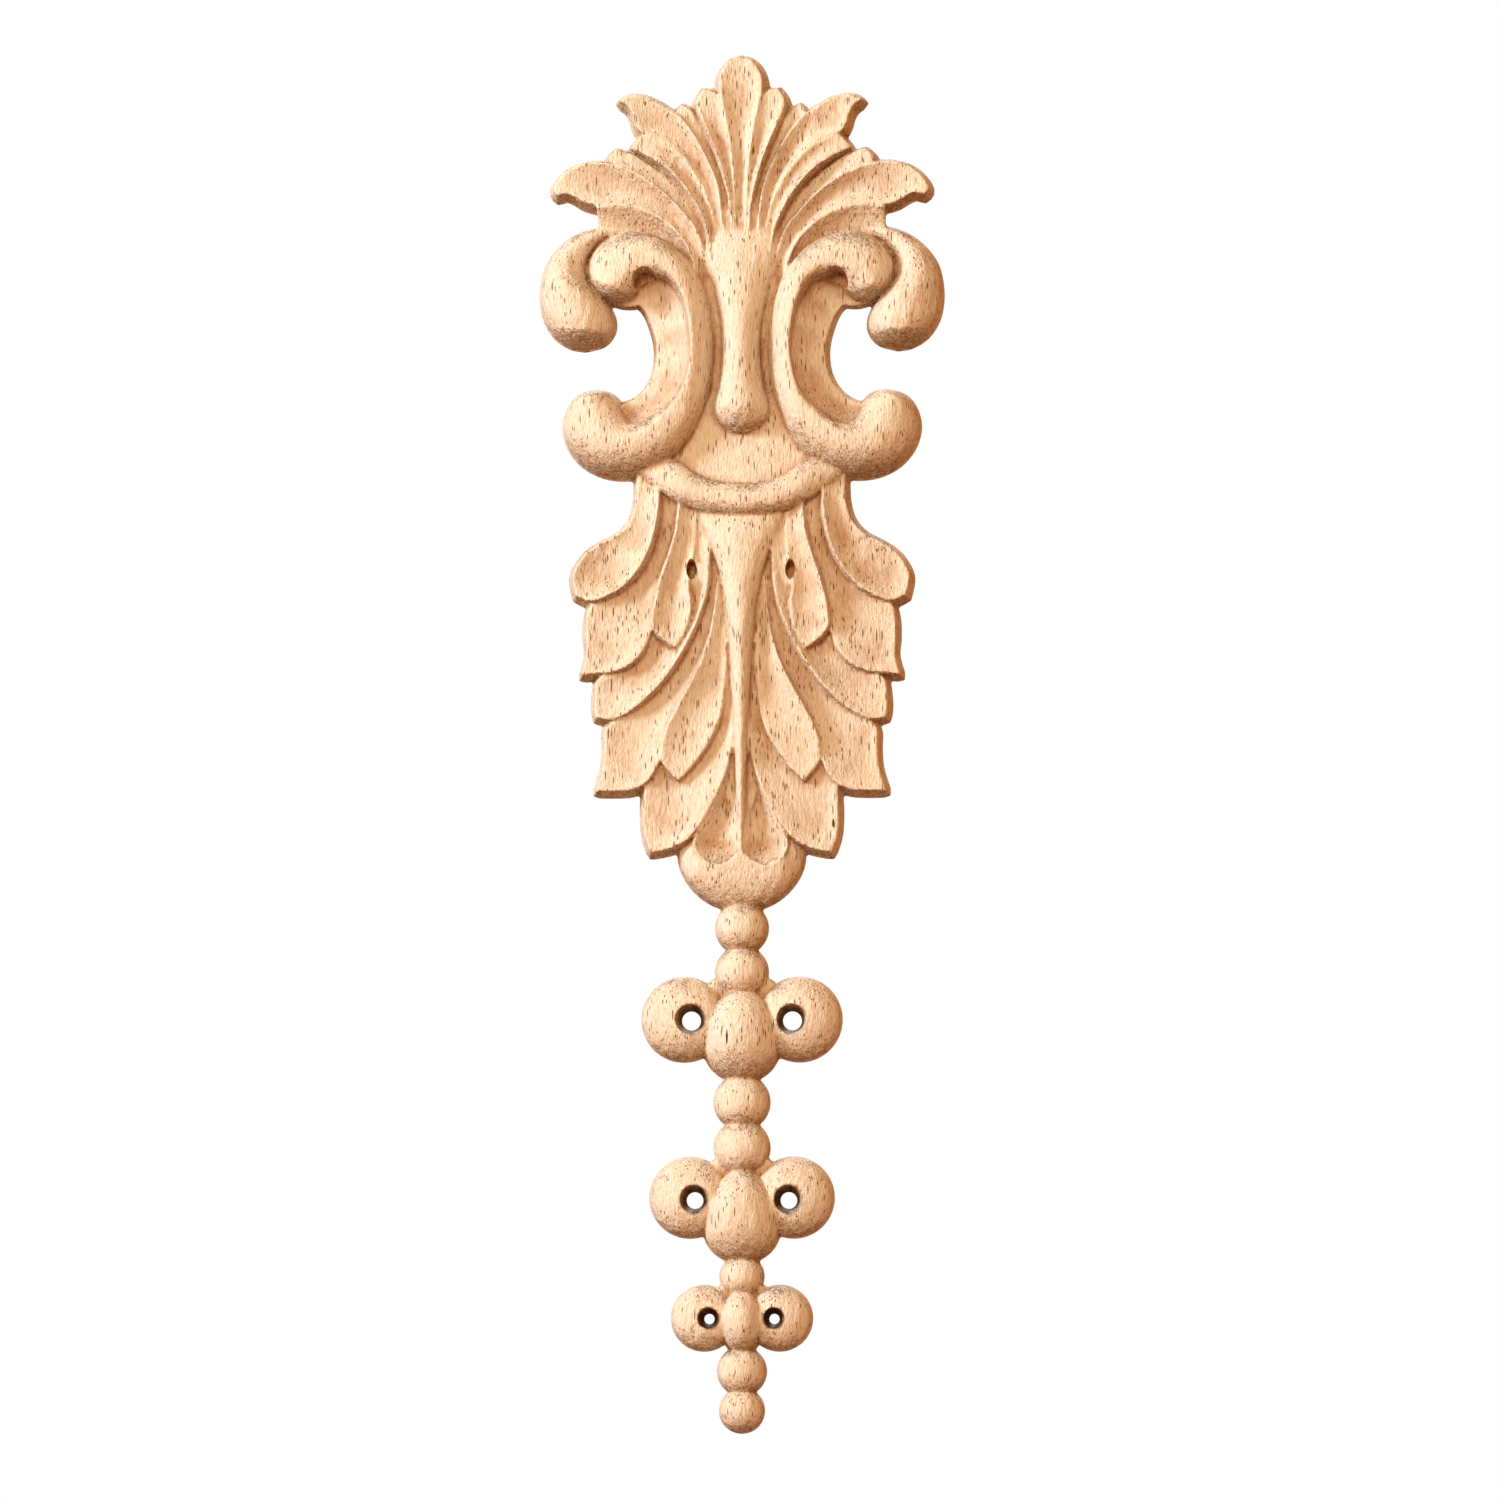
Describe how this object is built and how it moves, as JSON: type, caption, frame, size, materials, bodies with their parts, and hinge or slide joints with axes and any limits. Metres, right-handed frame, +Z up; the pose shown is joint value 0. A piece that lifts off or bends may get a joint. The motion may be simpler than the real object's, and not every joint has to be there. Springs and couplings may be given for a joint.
{
  "type": "carved wood applique",
  "caption": "Tall drop-shaped carved wood applique with a leaf fan, paired C-scrolls, hanging leaves and a beaded tail, fixed flat to furniture or panelling.",
  "frame": {"origin": "on the flat back face, on the axis of symmetry, midway between the top leaf's tip and the end of the beaded tail", "axes": "+Z up along the length, with the leaf fan on top; +Y out of the flat back towards what it is fixed to, so the carving faces -Y; +X to the right for someone who looks at the carving"},
  "size_m": [0.1018, 0.0152, 0.346],
  "materials": {
    "bare_wood": "bare, sanded, unfinished"
  },
  "bodies": {
    "root": {"carved_applique": "bare_wood"}
  },
  "joints": []
}
